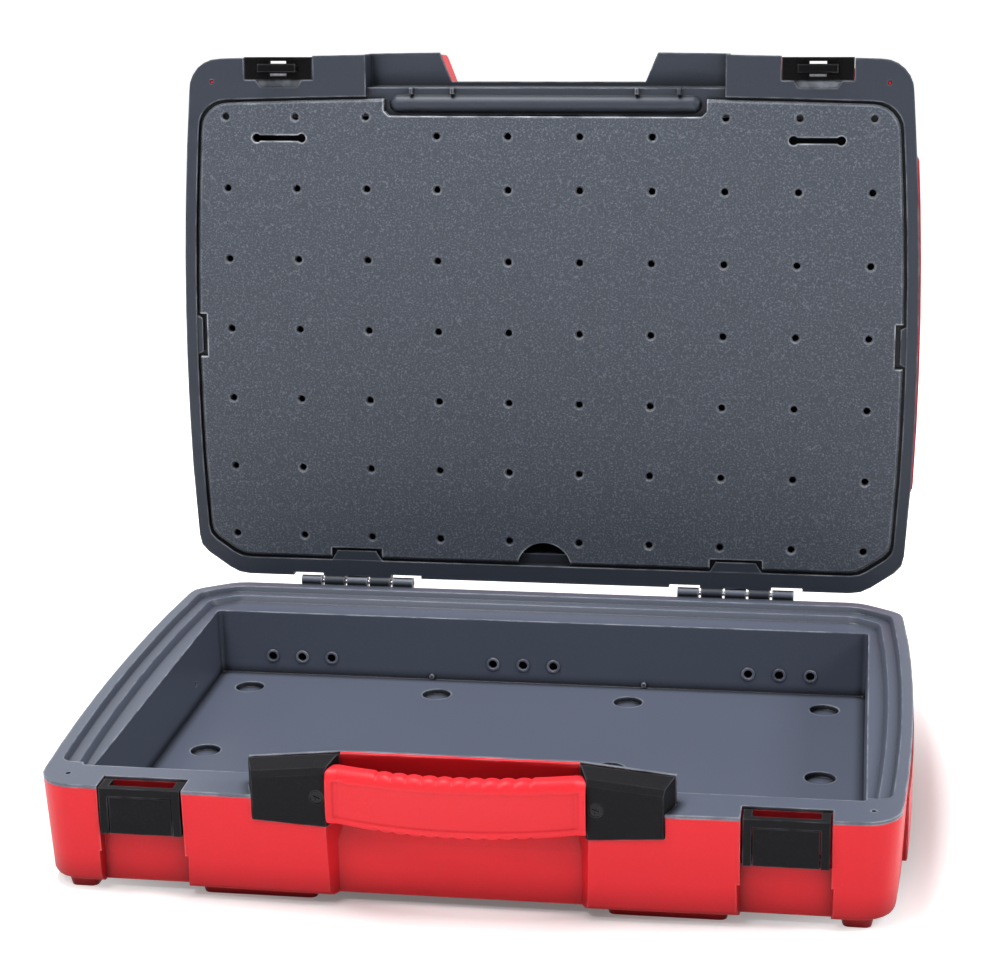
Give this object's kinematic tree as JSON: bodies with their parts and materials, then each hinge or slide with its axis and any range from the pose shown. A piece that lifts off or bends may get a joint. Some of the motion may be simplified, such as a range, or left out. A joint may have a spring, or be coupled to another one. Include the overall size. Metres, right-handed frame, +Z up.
{
  "type": "hard tool case with tool panel",
  "caption": "Open hard tool case: deep base with terraced liner, hinged lid with lift-out perforated tool panel, front carrying grip and over-centre toggle latches.",
  "frame": {"origin": "Centre of the base's underside, on the plane of its feet: midway between the sides, and midway between the front and back faces of the base.", "axes": "+X to the case's right as seen from the front, along its width; +Y from the handle side to the hinge side; +Z up."},
  "size_m": [0.5202, 0.466, 0.4462],
  "materials": {
    "shell_red": "moulded plastic, satin, faint grain",
    "liner_slate": "moulded plastic, satin",
    "panel_speckled": "pebbled plastic board",
    "fitting_black": "moulded nylon, satin",
    "grip_red": "soft-touch moulding",
    "pin_steel": "plain steel rod",
    "screw_black": "blackened steel",
    "screw_zinc": "zinc-plated steel"
  },
  "bodies": {
    "base": {"base_shell": "shell_red", "base_liner": "liner_slate", "left_hinge_pin": "pin_steel", "right_hinge_pin": "pin_steel", "left_handle_bracket": "fitting_black", "right_handle_bracket": "fitting_black", "handle_core": "fitting_black", "handle_grip": "grip_red", "handle_screws": "screw_black", "bracket_screws": "screw_zinc", "left_lever_pin": "pin_steel", "right_lever_pin": "pin_steel"},
    "lid": {"lid_shell": "shell_red", "lid_liner": "liner_slate", "tool_panel": "panel_speckled", "left_latch_keeper": "fitting_black", "right_latch_keeper": "fitting_black", "keeper_screws": "screw_zinc"},
    "left_lever": {"left_latch_lever": "fitting_black", "left_loop_pin": "pin_steel"},
    "right_lever": {"right_latch_lever": "fitting_black", "right_loop_pin": "pin_steel"},
    "left_loop": {"left_latch_loop": "fitting_black"},
    "right_loop": {"right_latch_loop": "fitting_black"}
  },
  "joints": [
    {"name": "lid_hinge", "type": "hinge", "parent": "base", "child": "lid", "pos_m": [0, 0.1908, 0.0705], "axis": [1, 0, 0], "range_deg": [0, 94.3]},
    {"name": "left_latch_lever", "type": "hinge", "parent": "base", "child": "left_lever", "pos_m": [-0.1865, -0.1792, 0.0583], "axis": [1, 0, 0], "range_deg": [-95, 4]},
    {"name": "right_latch_lever", "type": "hinge", "parent": "base", "child": "right_lever", "pos_m": [0.1865, -0.1792, 0.0583], "axis": [1, 0, 0], "range_deg": [-95, 4]},
    {"name": "left_latch_loop", "type": "hinge", "parent": "left_lever", "child": "left_loop", "pos_m": [-0.1865, -0.174, 0.0421], "axis": [1, 0, 0], "range_deg": [-4, 95]},
    {"name": "right_latch_loop", "type": "hinge", "parent": "right_lever", "child": "right_loop", "pos_m": [0.1865, -0.174, 0.0421], "axis": [1, 0, 0], "range_deg": [-4, 95]}
  ],
  "couplings": [
    {"joint": "left_latch_loop", "follows": "left_latch_lever", "ratio": -1},
    {"joint": "right_latch_loop", "follows": "right_latch_lever", "ratio": -1}
  ]
}
